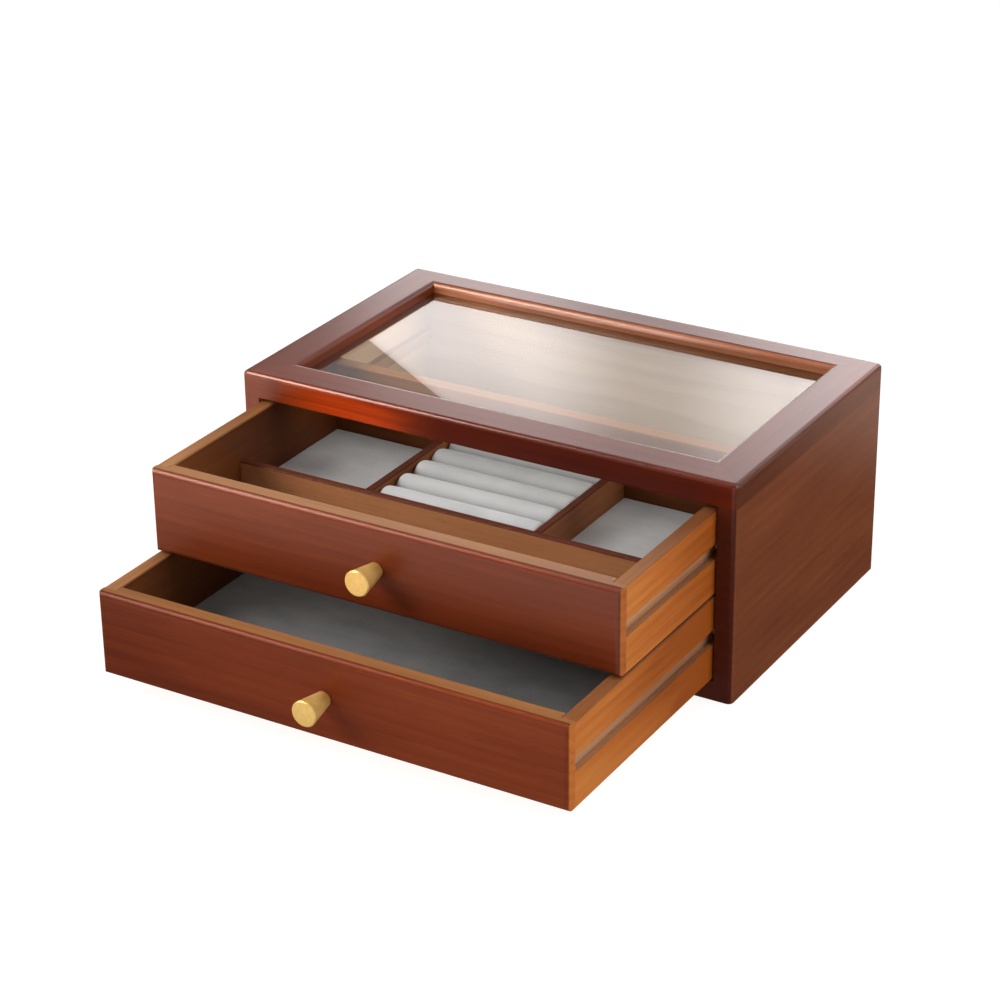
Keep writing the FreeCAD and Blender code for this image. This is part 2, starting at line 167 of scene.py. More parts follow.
def inMm(tree, place):
    return put(tree, "ShaderNodeVectorMath", {0: place, "Scale": toMm[0]}, operation="SCALE").outputs[0]


def axisOf(tree, place, axis):
    return put(tree, "ShaderNodeSeparateXYZ", {0: place}).outputs["XYZ".index(axis)]


def offMiddle(tree, place):
    # how far a point is from the box's middle plane
    return reckon(tree, "ABSOLUTE", axisOf(tree, place, "X"))


def newFinish(name):
    finish = bpy.data.materials.new(name)
    finish.use_nodes = True
    tree = finish.node_tree
    shader = tree.nodes["Principled BSDF"]
    place = put(tree, "ShaderNodeTexCoord").outputs["Object"]
    return finish, tree, shader, place


def wear(tree, shader, height, strength, distance):
    # a bump from a height socket; distance is in mm
    inputs = {"Height": height, "Strength": strength, "Distance": distance * mm}
    bump = put(tree, "ShaderNodeBump", inputs)
    tree.links.new(bump.outputs[0], shader.inputs["Normal"])


def useFinish(name, finish):
    # gives a CAD piece its finish in every one of its slots
    for slot in nodes[name].material_slots:
        slot.link = "DATA"
        slot.material = finish


# Wood: one figure shared by all boards, cut from it at a place of each board's own.

woodFigure = {
    "ringPitch": 6.5,             # between growth rings, cut square across
    "ringWander": 2.2,            # how far the rings wander, in rings
    "lateWood": (0.25, 0.9),      # the share of a ring over which it darkens
    "ringEdge": (0.92, 1.0),      # and the share over which it ends
    # the size of each noise's features along and across the grain, then its detail and roughness
    "wander": ((190, 42, 42), 2.0, 0.5),
    "clouds": ((130, 30, 30), 3.0, 0.5),
    "fibres": ((70, 0.9, 0.9), 4.0, 0.6),
    "streaks": ((60, 3.2, 3.2), 3.0, 0.6),
    "pores": ((7.5, 0.34, 0.34), 1.0, 0.5),
    "poreShare": (0.66, 0.78),    # the noise that counts as a pore, from faint to full
}


def makeWoodFigure(look):
    # a node group: a place in mm, X along the grain and the tree's heart at 0, gives the figure there
    tree = bpy.data.node_groups.new("woodFigure", "ShaderNodeTree")
    tree.interface.new_socket("Vector", in_out="INPUT", socket_type="NodeSocketVector")
    for name in ("Rings", "Clouds", "Fibres", "Streaks", "Pores"):
        tree.interface.new_socket(name, in_out="OUTPUT", socket_type="NodeSocketFloat")
    place = put(tree, "NodeGroupInput").outputs[0]
    split = put(tree, "ShaderNodeSeparateXYZ", {0: place})
    wander = grainNoise(tree, place, *look["wander"])
    acrossSquared = reckon(tree, "POWER", split.outputs[1], 2.0)
    upSquared = reckon(tree, "POWER", split.outputs[2], 2.0)
    radius = reckon(tree, "SQRT", reckon(tree, "ADD", acrossSquared, upSquared))
    phase = reckon(tree, "ADD", reckon(tree, "DIVIDE", radius, look["ringPitch"]),
                   reckon(tree, "MULTIPLY", wander, look["ringWander"]))
    saw = reckon(tree, "FRACT", phase)
    darkening = between(tree, saw, *look["lateWood"])
    figure = {
        "Rings": reckon(tree, "MULTIPLY", darkening, between(tree, saw, *look["ringEdge"], 1.0, 0.0)),
        "Clouds": grainNoise(tree, place, *look["clouds"]),
        "Fibres": grainNoise(tree, place, *look["fibres"]),
        "Streaks": grainNoise(tree, place, *look["streaks"]),
        "Pores": between(tree, grainNoise(tree, place, *look["pores"]), *look["poreShare"]),
    }
    put(tree, "NodeGroupOutput", figure)
    return tree


figureGroup = makeWoodFigure(woodFigure)

# How the Mapping node turns each grain direction onto the figure's own X.
grainTurn = {
    "X": (0, 0, 0),
    "Y": (0, 0, -math.pi / 2),
    "Z": (0, math.pi / 2, 0),
}

# The middle of each part of the figure. A coat's "figure" is its share of each, in this order.
figureMiddle = {"Clouds": 0.5, "Streaks": 0.5, "Fibres": 0.5, "Rings": 0.3}

# Where a coat's dark, middle and light tones lie on the scale from 0 to 1.
toneStops = 0.18, 0.5, 0.82

# How rough a coat is, from its smoothest fibres to its roughest.
roughness = {
    "satin": (0.32, 0.42),
    "clear": (0.34, 0.46),
    "thin": (0.42, 0.55),
    "worn": (0.45, 0.58),
    "none": (0.62, 0.75),
}

woodCoats = {
    "stain": {                    # reddish brown stain under a satin lacquer
        "tones": ((74, 24, 8), (119, 49, 20), (152, 73, 34)),
        "pore": (44, 13, 5), "poreDepth": 0.55, "rough": "satin",
        "figure": (0.38, 0.14, 0.18, -0.04),
    },
    "brown": {                    # the same stain over browner boards
        "tones": ((70, 32, 16), (112, 58, 32), (144, 82, 48)),
        "pore": (42, 18, 9), "poreDepth": 0.55, "rough": "satin",
        "figure": (0.34, 0.12, 0.16, -0.04),
    },
    "honey": {                    # clear lacquer on a yellow-brown wood
        "tones": ((142, 71, 21), (177, 99, 39), (200, 128, 60)),
        "pore": (100, 48, 14), "poreDepth": 0.5, "rough": "clear",
        "figure": (0.42, 0.24, 0.28, -0.08),
    },
    "dark": {                     # two coats of stain, on the case's front
        "tones": ((74, 18, 5), (108, 34, 11), (136, 50, 20)),
        "pore": (40, 11, 4), "poreDepth": 0.5, "rough": "satin",
        "figure": (0.45, 0.20, 0.20, -0.05),
    },
    "deep": {                     # darker still: painted shade on the front edges of the side and bottom boards
        "tones": ((50, 13, 5), (76, 25, 11), (100, 38, 18)),
        "pore": (30, 9, 4), "poreDepth": 0.5, "rough": "satin",
        "figure": (0.30, 0.15, 0.20, -0.05),
    },
    "warmGlow": {                    # painted warm glow of bounced light on the front rail's face
        "tones": ((110, 36, 9), (150, 60, 17), (178, 88, 34)),
        "pore": (60, 18, 6), "poreDepth": 0.5, "rough": "satin",
        "figure": (0.60, 0.40, 0.30, -0.15),
    },
    "amber": {                    # stain rubbed thin on the moulding behind the window, plus painted light
        "tones": ((156, 90, 58), (200, 128, 92), (224, 162, 126)),
        "pore": (84, 40, 20), "poreDepth": 0.5, "rough": "satin",
        "figure": (0.45, 0.25, 0.25, -0.05),
    },
    "peachHighlight": {                    # painted highlight on the same moulding
        "tones": ((212, 156, 134), (242, 196, 176), (250, 216, 200)),
        "pore": (140, 84, 62), "poreDepth": 0.35, "rough": "satin",
        "figure": (0.45, 0.25, 0.25, -0.05),
    },
    "rosy": {                     # painted light and sheen on the case's left front corner
        "tones": ((106, 52, 37), (142, 77, 56), (168, 103, 79)),
        "pore": (64, 30, 22), "poreDepth": 0.5, "rough": "satin",
        "figure": (0.40, 0.14, 0.18, -0.04),
    },
    "rim": {                      # painted sheen on top edges of the fronts and the left side boards
        "tones": ((130, 82, 45), (162, 109, 66), (188, 137, 91)),
        "pore": (96, 58, 32), "poreDepth": 0.5, "rough": "worn",
        "figure": (0.45, 0.25, 0.30, -0.06),
    },
    "ridge": {                    # the same painted sheen, darker, on the right side boards
        "tones": ((108, 62, 31), (140, 87, 49), (172, 118, 76)),
        "pore": (76, 42, 20), "poreDepth": 0.5, "rough": "worn",
        "figure": (0.45, 0.25, 0.30, -0.06),
    },
    "umber": {                    # dark brown on the dividers' top edges and on the beads
        "tones": ((58, 26, 16), (86, 42, 27), (110, 60, 42)),
        "pore": (36, 16, 10), "poreDepth": 0.5, "rough": "thin",
        "figure": (0.30, 0.20, 0.25, -0.05),
    },
    "nut": {                      # darker brown inside the drawers
        "tones": ((78, 39, 17), (108, 60, 29), (138, 84, 46)),
        "pore": (56, 27, 11), "poreDepth": 0.5, "rough": "thin",
        "figure": (0.40, 0.24, 0.30, -0.06),
    },
    "midNutLit": {                   # paler: partitions, back bead, and painted light high on the drawers' backs
        "tones": ((112, 66, 38), (142, 88, 54), (166, 112, 74)),
        "pore": (78, 42, 22), "poreDepth": 0.5, "rough": "thin",
        "figure": (0.40, 0.24, 0.30, -0.06),
    },
    "paleNutLit": {                 # paler still: long divider, and painted light on drawer backs' top edges
        "tones": ((146, 90, 54), (178, 116, 74), (200, 140, 94)),
        "pore": (96, 54, 30), "poreDepth": 0.5, "rough": "thin",
        "figure": (0.40, 0.24, 0.30, -0.06),
    },
    "raw": {                      # cut wood without a finish, in the grooves and on the runners
        "tones": ((146, 100, 70), (173, 128, 93), (192, 150, 116)),
        "pore": (108, 70, 46), "poreDepth": 0.35, "rough": "none",
        "figure": (0.30, 0.25, 0.30, -0.10),
    },
    "shaded": {                   # unfinished wood at the bottom of the case
        "tones": ((102, 74, 53), (125, 93, 68), (146, 112, 84)),
        "pore": (80, 56, 40), "poreDepth": 0.35, "rough": "none",
        "figure": (0.30, 0.25, 0.30, -0.14),
    },
    "bare": {                     # pale unfinished wood inside the case and under the drawers
        "tones": ((190, 153, 117), (214, 178, 141), (229, 199, 166)),
        "pore": (136, 104, 78), "poreDepth": 0.35, "rough": "none",
        "figure": (0.30, 0.25, 0.30, -0.14),
    },
}

woodSurface = {
    "ior": 1.5,
    "level": 0.5,                 # the mean level of a board that neither darkens nor pales
    "fibreRange": (0.2, 0.8),     # the fibres' noise, from the smoothest to the roughest
    "fibreRise": 0.35,
    "poreRise": -0.8,
    "relief": (0.35, 0.12),       # the bump's strength, and its height
}

# A lacquer: the share of gloss under it, its own weight and its roughness.
lacquerOnStain = {"under": 0.12, "weight": 0.50, "rough": 0.20}
lacquerOnFronts = {
    "upper": {"under": 0.10, "weight": 0.40, "rough": 0.34},
    "lower": {"under": 0.04, "weight": 0.20, "rough": 0.34},
}
lacquerOnHoney = {"under": 0.08, "weight": 0.10, "rough": 0.30}


def coatTone(tree, figure, coat, level):
    # the colour of the figure under one coat; level is its mean, from dark to light
    look = woodCoats[coat]
    for (name, middle), share in zip(figureMiddle.items(), look["figure"]):
        part = reckon(tree, "MULTIPLY", reckon(tree, "SUBTRACT", figure.outputs[name], middle), share)
        level = reckon(tree, "ADD", part, level)
    colour = ramp(tree, level, [(stop, tone(*colour)) for stop, colour in zip(toneStops, look["tones"])])
    pores = reckon(tree, "MULTIPLY", figure.outputs["Pores"], look["poreDepth"])
    return mixTones(tree, pores, colour, tone(*look["pore"]))


def coatRoughness(tree, figure, coat):
    low, high = roughness[woodCoats[coat]["rough"]]
    return between(tree, figure.outputs["Fibres"], *woodSurface["fibreRange"], low, high)


def woodFinish(name, grain, heart, coat, others=(), lacquer=None, lean=None):
    # coat is all over; each other coat is where the mask built by its own function is 1;
    # lean is an axis and two (metres, level) pairs between which the board darkens or pales
    finish, tree, shader, place = newFinish(name)
    inputs = {"Vector": place, "Location": heart, "Rotation": grainTurn[grain], "Scale": toMm}
    cut = put(tree, "ShaderNodeMapping", inputs).outputs[0]
    figure = put(tree, "ShaderNodeGroup", {0: cut}, node_tree=figureGroup)
    level = woodSurface["level"]
    if lean:
        axis, (start, startLevel), (end, endLevel) = lean
        level = between(tree, axisOf(tree, place, axis), start, end, startLevel, endLevel)
    colour = coatTone(tree, figure, coat, level)
    rough = coatRoughness(tree, figure, coat)
    for other, where in others:
        mask = where(tree, place)
        colour = mixTones(tree, mask, colour, coatTone(tree, figure, other, level))
        inputs = {0: mask, 2: rough, 3: coatRoughness(tree, figure, other)}
        rough = put(tree, "ShaderNodeMix", inputs, data_type="FLOAT").outputs[0]
    tree.links.new(colour, shader.inputs["Base Color"])
    tree.links.new(rough, shader.inputs["Roughness"])
    relief = weigh(tree, figure.outputs["Pores"], woodSurface["poreRise"],
                   figure.outputs["Fibres"], woodSurface["fibreRise"])
    wear(tree, shader, relief, *woodSurface["relief"])
    shader.inputs["IOR"].default_value = woodSurface["ior"]
    if lacquer:
        shader.inputs["Specular IOR Level"].default_value = lacquer["under"]
        shader.inputs["Coat Weight"].default_value = lacquer["weight"]
        shader.inputs["Coat Roughness"].default_value = lacquer["rough"]
    return finish


# Masks: each function here gives a function that builds a mask in a tree, 1 where a coat lies.
# Limits are in metres, and soft, half the width of the mask's edge, is in mm.

faceStep = (-0.02, 0.06)      # where an inner face's mask ends, about the face


def beyond(axis, limit, side, soft):
    # past limit on that side
    ends = (0.0, 1.0) if side > 0 else (1.0, 0.0)

    def mask(tree, place):
        return between(tree, axisOf(tree, place, axis), limit - soft * mm, limit + soft * mm, *ends)
    return mask


def beyondWidth(limit, soft):
    # further from the middle plane than limit
    def mask(tree, place):
        return between(tree, offMiddle(tree, place), limit - soft * mm, limit + soft * mm)
    return mask


def insideWidth(limit):
    # nearer the middle plane than limit
    def mask(tree, place):
        low, high = (limit + step * mm for step in faceStep)
        return between(tree, offMiddle(tree, place), low, high, 1.0, 0.0)
    return mask


def nearPlane(axis, plane, side, reach, soft):
    # within reach, in mm, of a board's face in that plane; side is the way it faces
    return beyond(axis, plane - side * reach * mm, side, soft)


def underTop(name, reach, soft):
    # within reach, in mm, of a board's top edge
    return nearPlane("Z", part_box(name)[1].z, 1, reach, soft)


def both(first, second):
    def mask(tree, place):
        return reckon(tree, "MULTIPLY", first(tree, place), second(tree, place))
    return mask


def stretch(axis, start, end, origin=0.0):
    # from start to end, each a (mm from origin, soft) pair
    after = beyond(axis, origin + start[0] * mm, 1, start[1])
    before = beyond(axis, origin + end[0] * mm, -1, end[1])
    return both(after, before)


grooves = {
    "level": 24,               # middle of the groove over the board's lower edge
    "height": 8.5,
    "depth": 3.5,
    "mouth": (0.35, 0.12),     # the mask's edges: in from the board's outer face,
    "floor": (0.6, 0.3),       # in from the groove's floor,
    "wall": (0.03, 0.15),      # and out from its walls
}


def inGroove(side):
    # on the floor and walls of a drawer side's runner groove
    low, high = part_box(side)
    outer = max(abs(low.x), abs(high.x))
    middle = low.z + grooves["level"] * mm
    half = grooves["height"] / 2 * mm
    floor = outer - grooves["depth"] * mm
    mouthSteps = [outer - step * mm for step in grooves["mouth"]]
    floorSteps = [floor - step * mm for step in grooves["floor"]]
    wallSteps = [half + step * mm for step in grooves["wall"]]

    def mask(tree, place):
        away = offMiddle(tree, place)
        off = reckon(tree, "ABSOLUTE", reckon(tree, "SUBTRACT", axisOf(tree, place, "Z"), middle))
        deep = between(tree, away, *mouthSteps, 1.0, 0.0)
        shallow = between(tree, away, *floorSteps)
        high = between(tree, off, *wallSteps, 1.0, 0.0)
        return reckon(tree, "MULTIPLY", reckon(tree, "MULTIPLY", deep, shallow), high)
    return mask


# Case: the way each board's grain runs and where the heart of its tree lies, in mm.

caseBoards = {
    "left_side_panel": ("Y", (12, 96, -74)),
    "right_side_panel": ("Y", (-40, 118, 65)),
    "top_front_rail": ("X", (0, 152, -190)),
    "top_back_rail": ("X", (70, -21, -172)),
    "top_left_rail": ("Y", (25, -100, -178)),
    "top_right_rail": ("Y", (-60, 170, -165)),
    "back_panel": ("X", (33, -170, -30)),
    "bottom_panel": ("X", (-52, 20, 85)),
}
beadBoards = {
    "glass_bead_front": ("X", (10, 120, -90)),
    "glass_bead_back": ("X", (60, -30, -120)),
    "glass_bead_left": ("Y", (5, 100, -80)),
    "glass_bead_right": ("Y", (45, 150, -95)),
}
runnerBoard = ("Y", (15, 60, -40))
dowelStick = ("Z", (0, 30, 20))

caseLean = {                      # an axis, and the (metres, level) pairs between which a rail's tone changes
    # the front rail's change is painted light: paler at the left, where the light falls
    "top_front_rail": ("X", (-0.15, 0.46), (0.12, 0.28)),
    "top_left_rail": ("Y", (-0.09, 0.40), (0.09, 0.32)),
    "top_right_rail": ("Y", (-0.09, 0.26), (0.09, 0.36)),
    "top_back_rail": ("X", (-0.15, 0.36), (0.15, 0.34)),
}

caseZones = {
    # how far each coat reaches, and how soft its edge is
    "dark": (1.2, 0.5),                           # behind the front face
    "deep": (1.2, 0.3),                           # behind it, on the side and bottom boards: painted shade
    "brown": (1.2, 0.6),                          # in from the right rail's outer face
    "amber": (1.9, 0.6),                          # behind the back rail's inner edge
    "rosy": (-130, 8),                            # left of here
    "warmGlow": ((-128, 12), (-45, 28)),             # from left to right
    "peachAlong": ((-100, 40), (50, 50)),
    "peachHeight": ((-3.4, 0.5), (-1.3, 0.4)),    # under the rail's top
    "innerFace": (0.2, 0.05),                     # in from the inner faces of the back and the bottom
}


def finishCase(zones):
    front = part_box("top_front_rail")[0].y
    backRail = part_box("top_back_rail")
    inner = insideWidth(abs(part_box("lower_left_runner")[0].x))
    # the deep coat is painted shade on the case's front edges, where the drawers shadow them
    edge = nearPlane("Y", front, -1, *zones["deep"])
    onFace = nearPlane("Y", front, -1, *zones["dark"])
    # painted light and sheen on the case's left front corner
    cornerEnd, cornerSoft = zones["rosy"]
    corner = both(onFace, beyond("X", cornerEnd * mm, -1, cornerSoft))
    # the moulding's paler coat is partly painted light
    moulding = nearPlane("Y", backRail[0].y, -1, *zones["amber"])
    # a painted highlight along the back rail's moulding
    highlighted = both(stretch("Z", *zones["peachHeight"], backRail[1].z), stretch("X", *zones["peachAlong"]))
    floor = underTop("bottom_panel", *zones["innerFace"])
    backInner = nearPlane("Y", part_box("back_panel")[0].y, -1, *zones["innerFace"])
    outerSide = nearPlane("X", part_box("top_right_rail")[1].x, 1, *zones["brown"])
    otherCoats = {
        "left_side_panel": [("bare", inner), ("deep", edge), ("rosy", corner)],
        "right_side_panel": [("bare", inner), ("deep", edge)],
        "bottom_panel": [("shaded", floor), ("deep", edge)],
        "back_panel": [("bare", backInner)],
        # painted light: a warm glow on the front rail's face
        "top_front_rail": [("dark", onFace), ("warmGlow", both(onFace, stretch("X", *zones["warmGlow"]))),
                           ("rosy", corner)],
        "top_back_rail": [("amber", moulding), ("peachHighlight", both(moulding, highlighted))],
        "top_right_rail": [("brown", outerSide)],
    }
    for name, (grain, heart) in caseBoards.items():
        coat = "brown" if name.endswith("side_panel") else "stain"
        others = otherCoats.get(name, ())
        useFinish(name, woodFinish(name, grain, heart, coat, others, lacquerOnStain, caseLean.get(name)))
    for name, (grain, heart) in beadBoards.items():
        coat = "midNutLit" if name == "glass_bead_back" else "umber"
        useFinish(name, woodFinish(name, grain, heart, coat, lacquer=lacquerOnHoney))
    runnerFinish = woodFinish("runnerWood", *runnerBoard, "raw")
    for side in ("left", "right"):
        for level in ("lower", "upper"):
            useFinish(f"{level}_{side}_runner", runnerFinish)
    useFinish("frame_dowels", woodFinish("dowelWood", *dowelStick, "bare"))


# Drawers: where the heart of each board's tree lies, in mm. Side boards run along Y, the others along X.

drawerHearts = {
    "upper": {
        "front": (31, 205, 1),
        "left_side": (31, 110, -60),
        "right_side": (-31, 150, 79),
        "back": (31, 30, -110),
        "bottom": (31, 90, -150),
    },
    "lower": {
        "front": (-64, 205, -94),
        "left_side": (-64, 110, -60),
        "right_side": (64, 150, -16),
        "back": (-64, 30, -110),
        "bottom": (-64, 90, -150),
    },
}
dividerBoards = {
    "long_divider": ("X", (20, 170, -60), "paleNutLit"),
    "left_partition": ("Y", (30, 90, -120), "midNutLit"),
    "right_partition": ("Y", (-35, 75, -140), "midNutLit"),
}

frontLean = {                     # as caseLean
    # painted light pales the upper front at the left; the lower front darkens at the left
    "upper": ("X", (-0.14, 0.54), (0.13, 0.42)),
    "lower": ("X", (-0.14, 0.36), (0.13, 0.52)),
}
# painted shade: the drawer sides darken towards the case, which shadows them
sideShadeLean = {                      # levels at the drawer's front and at the case
    "upper": (0.64, 0.24),
    "lower": (0.62, 0.12),
}
# painted light: a drawer back pales towards its top
backLightLean = {
    "start": 0.3,                 # as a share of the board's height; it goes on to the top
    "levels": (0.40, 0.72),
}

drawerZones = {
    # how far each coat reaches, and how soft its edge is
    "stainedEdge": (3.0, 0.12),   # behind a front's face: its rounding
    "rubbedCorner": (0.7, 0.25),  # in from a front's ends, where the stain is rubbed off
    "topEdge": (0.9, 0.1),        # under the boards' top edges
    "dividerEdge": (0.7, 0.2),
    "backTop": (10.0, 6.0),       # painted light under a back board's top edge
    "innerFace": (0.4, 0.05),     # in from the boards' inner faces
}


def finishDrawer(level, zones):
    front, back, bottom = (f"{level}_{board}" for board in ("front", "back", "bottom"))
    hearts = drawerHearts[level]
    face, inside = (corner.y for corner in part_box(front))
    stained, stainedSoft = zones["stainedEdge"]
    rubbed, rubbedSoft = zones["rubbedCorner"]
    onTop = underTop(front, *zones["topEdge"])
    behindFace = beyond("Y", face + stained * mm, 1, stainedSoft)
    frontCoats = [
        ("honey", behindFace),
        ("honey", beyondWidth(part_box(front)[1].x - rubbed * mm, rubbedSoft)),
        ("nut", nearPlane("Y", inside, 1, *zones["innerFace"])),
        # painted sheen on the front's top edge
        ("rim", both(onTop, behindFace)),
    ]
    useFinish(front, woodFinish(front, "X", hearts["front"], "stain", frontCoats,
                                lacquerOnFronts[level], frontLean[level]))
    inner = insideWidth(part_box(f"{level}_right_side")[0].x + zones["innerFace"][0] * mm)
    # painted shade: the sides darken from the drawer's front towards the case
    frontLevel, caseLevel = sideShadeLean[level]
    lean = "Y", (face, frontLevel), (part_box("top_front_rail")[0].y, caseLevel)
    # painted sheen on the side boards' top edges
    for board, edging in (("left_side", "rim"), ("right_side", "ridge")):
        name = f"{level}_{board}"
        coats = [("nut", inner), ("raw", inGroove(name)), (edging, onTop)]
        useFinish(name, woodFinish(name, "Y", hearts[board], "honey", coats, lacquerOnHoney, lean))
    # painted light: the back pales towards its top, and more near its top edge
    low, high = (corner.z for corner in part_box(back))
    lowLevel, highLevel = backLightLean["levels"]
    lean = "Z", (low + backLightLean["start"] * (high - low), lowLevel), (high, highLevel)
    coats = [("midNutLit", underTop(back, *zones["backTop"])), ("paleNutLit", underTop(back, *zones["topEdge"]))]
    useFinish(back, woodFinish(back, "X", hearts["back"], "nut", coats, lacquerOnHoney, lean))
    useFinish(bottom, woodFinish(bottom, "X", hearts["bottom"], "bare"))


def finishDividers(zones):
    for name, (grain, heart, coat) in dividerBoards.items():
        edging = [("umber", underTop(name, *zones["dividerEdge"]))]
        useFinish(name, woodFinish(name, grain, heart, coat, edging, lacquerOnHoney))


finishCase(caseZones)
finishDrawer("upper", drawerZones)
finishDrawer("lower", drawerZones)
finishDividers(drawerZones)
print("wood finished")


# Glass, brass and steel.

glassLook = {
    "ior": 1.5,
    "tones": ((0.35, tone(240, 246, 242)), (0.65, tone(247, 251, 248))),
    "clouds": (90, 60, 30),
}
brassLook = {
    "tones": ((0.25, tone(226, 178, 94)), (0.75, tone(248, 212, 132))),
    "lineWidth": 0.16,
    "rough": (0.36, 0.50),
    "metallic": 0.42,           # satin lacquer hides a part of the metal
}
steelLook = {
    "tones": ((0.3, tone(126, 128, 132)), (0.7, tone(184, 186, 190))),
    "lineWidth": 0.2,
    "rough": (0.28, 0.42),
    "metallic": 1.0,
}
turnedLook = {
    "patchSize": 2.4,
    "lineShare": 0.45,          # of the colour's changes, and the patches' share
    "patchShare": 0.55,
    "lineRange": (0.25, 0.75),  # the lines' noise, from the smoothest to the roughest
    "relief": (0.25, 0.03),     # the bump's strength, and its height
}


def finishGlass(look):
    finish, tree, shader, place = newFinish("windowGlass")
    clouds = grainNoise(tree, inMm(tree, place), look["clouds"])
    tree.links.new(ramp(tree, clouds, look["tones"]), shader.inputs["Base Color"])
    shader.inputs["Roughness"].default_value = 0.0
    shader.inputs["Transmission Weight"].default_value = 1.0
    shader.inputs["IOR"].default_value = look["ior"]
    useFinish("glass_pane", finish)
    nodes["glass_pane"].visible_shadow = False     # light falls through the pane into the box


def turnedMetal(name, centre, look, turning):
    # metal turned about an axis along Y through centre, with the tool's fine lines
    finish, tree, shader, place = newFinish(name)
    inputs = {"Vector": place, "Location": tuple(-c / mm for c in centre), "Scale": toMm}
    local = put(tree, "ShaderNodeMapping", inputs).outputs[0]
    split = put(tree, "ShaderNodeSeparateXYZ", {0: local})
    squares = [reckon(tree, "POWER", split.outputs[axis], 2.0) for axis in (0, 2)]
    radius = reckon(tree, "SQRT", reckon(tree, "ADD", *squares))
    turned = put(tree, "ShaderNodeCombineXYZ", {0: radius, 1: split.outputs[1]}).outputs[0]
    lines = grainNoise(tree, turned, (look["lineWidth"], look["lineWidth"], 1))
    patches = grainNoise(tree, local, (turning["patchSize"],) * 3, 3.0)
    level = weigh(tree, lines, turning["lineShare"], patches, turning["patchShare"])
    tree.links.new(ramp(tree, level, look["tones"]), shader.inputs["Base Color"])
    rough = between(tree, lines, *turning["lineRange"], *look["rough"])
    tree.links.new(rough, shader.inputs["Roughness"])
    shader.inputs["Metallic"].default_value = look["metallic"]
    wear(tree, shader, lines, *turning["relief"])
    return finish


finishGlass(glassLook)
for level in ("upper", "lower"):
    for node, look in ((f"{level}_knob", brassLook), (f"{level}_knob_screw", steelLook)):
        low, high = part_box(node)
        useFinish(node, turnedMetal(node, (low + high) / 2, look, turnedLook))
print("glass and metal finished")


# Soft linings: felt sheets laid in the drawers.

feltLook = {
    "tones": ((0.3, tone(172, 171, 170)), (0.7, tone(208, 207, 206))),
    "sheen": 0.35,
    "fibre": 0.5,
    "cell": 2.2,          # mesh cell
    "thick": 1.3,
    "swell": 0.12,        # how far the surface rises and falls
    "swellSize": 16,
    "round": 0.35,        # of the sheet's edges
    "sharpest": 50,       # degrees; edges that bend more are rounded
}
trayShadeTones = (0.3, tone(112, 111, 110)), (0.7, tone(144, 143, 141))
trayShadeLook = dict(feltLook, tones=trayShadeTones, sheen=0.25)      # the same felt with painted shade, in the lower tray
velvetLook = {
    "tones": ((0.3, tone(184, 184, 183)), (0.7, tone(212, 212, 210))),
    "sheen": 0.3,
    "fibre": 0.32,
    "slot": tone(84, 84, 84),
    "slotDepth": (7.5, 0.8),      # painted shade under the rolls' tops, from the darkest to none of it
    "slotShade": 0.5,
}
pileLook = {
    "brushed": (26, 14, 20),      # clouds of brushed pile
    "fibreShare": 0.6,            # of the colour's changes, and the clouds' share
    "brushedShare": 0.4,
    "rough": 0.95,
    "gloss": 0.15,
    "sheenRough": 0.45,
    "sheenTint": (0.9, 0.92, 0.94, 1),
    "relief": (0.5, 0.25),        # the bump's strength, and its height
}


def pileFinish(name, look, pile):
    # felt or velvet: fine fibres over slow clouds of brushed pile; velvet gets painted shade down in the ring
    # slots
    finish, tree, shader, place = newFinish(name)
    scaled = inMm(tree, place)
    fibres = grainNoise(tree, scaled, (look["fibre"],) * 3, 4.0, 0.65)
    brushed = grainNoise(tree, scaled, pile["brushed"], 3.0)
    level = weigh(tree, fibres, pile["fibreShare"], brushed, pile["brushedShare"])
    colour = ramp(tree, level, look["tones"])
    # painted shade down in the slots between the rolls
    if "slot" in look:
        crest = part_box("ring_roll_1")[1].z
        deep, shallow = (crest - depth * mm for depth in look["slotDepth"])
        shade = between(tree, axisOf(tree, place, "Z"), deep, shallow, look["slotShade"], 0.0)
        colour = mixTones(tree, shade, colour, look["slot"])
    tree.links.new(colour, shader.inputs["Base Color"])
    shader.inputs["Roughness"].default_value = pile["rough"]
    shader.inputs["Specular IOR Level"].default_value = pile["gloss"]
    shader.inputs["Sheen Weight"].default_value = look["sheen"]
    shader.inputs["Sheen Roughness"].default_value = pile["sheenRough"]
    shader.inputs["Sheen Tint"].default_value = pile["sheenTint"]
    wear(tree, shader, fibres, *pile["relief"])
    return finish


def meshObject(name, mesh):
    piece = bpy.data.objects.new(name, mesh)
    bpy.context.scene.collection.objects.link(piece)
    return piece


def settled(piece):
    # the piece with its modifiers applied, as a plain mesh
    graph = bpy.context.evaluated_depsgraph_get()
    mesh = bpy.data.meshes.new_from_object(piece.evaluated_get(graph))
    piece.modifiers.clear()
    piece.data = mesh
    return piece


